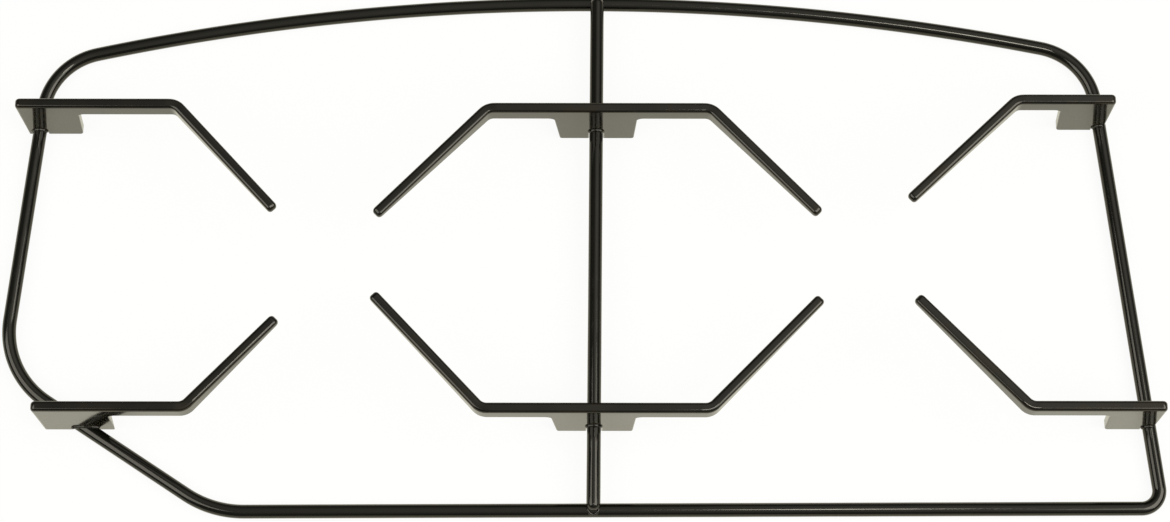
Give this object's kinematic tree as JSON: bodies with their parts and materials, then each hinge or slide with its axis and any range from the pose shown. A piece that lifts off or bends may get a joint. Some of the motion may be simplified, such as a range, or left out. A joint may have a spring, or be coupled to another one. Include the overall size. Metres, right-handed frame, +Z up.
{
  "type": "hob pan support",
  "caption": "Enamelled steel hob pan support: a low wire ring with a cross bar carries upright strip arms, whose bent fingers reach over the burners to hold pans.",
  "frame": {"origin": "middle of the ring's outline, on the plane that the soles of the feet stand on", "axes": "+X to the right along the front bar, +Y to the rear, +Z up"},
  "size_m": [0.4986, 0.2357, 0.036],
  "materials": {
    "enamel": "glossy black vitreous enamel"
  },
  "bodies": {
    "root": {"perimeter_ring": "enamel", "cross_bar": "enamel", "rear_left_arm": "enamel", "rear_centre_arm": "enamel", "rear_right_arm": "enamel", "front_left_arm": "enamel", "front_centre_arm": "enamel", "front_right_arm": "enamel"}
  },
  "joints": []
}
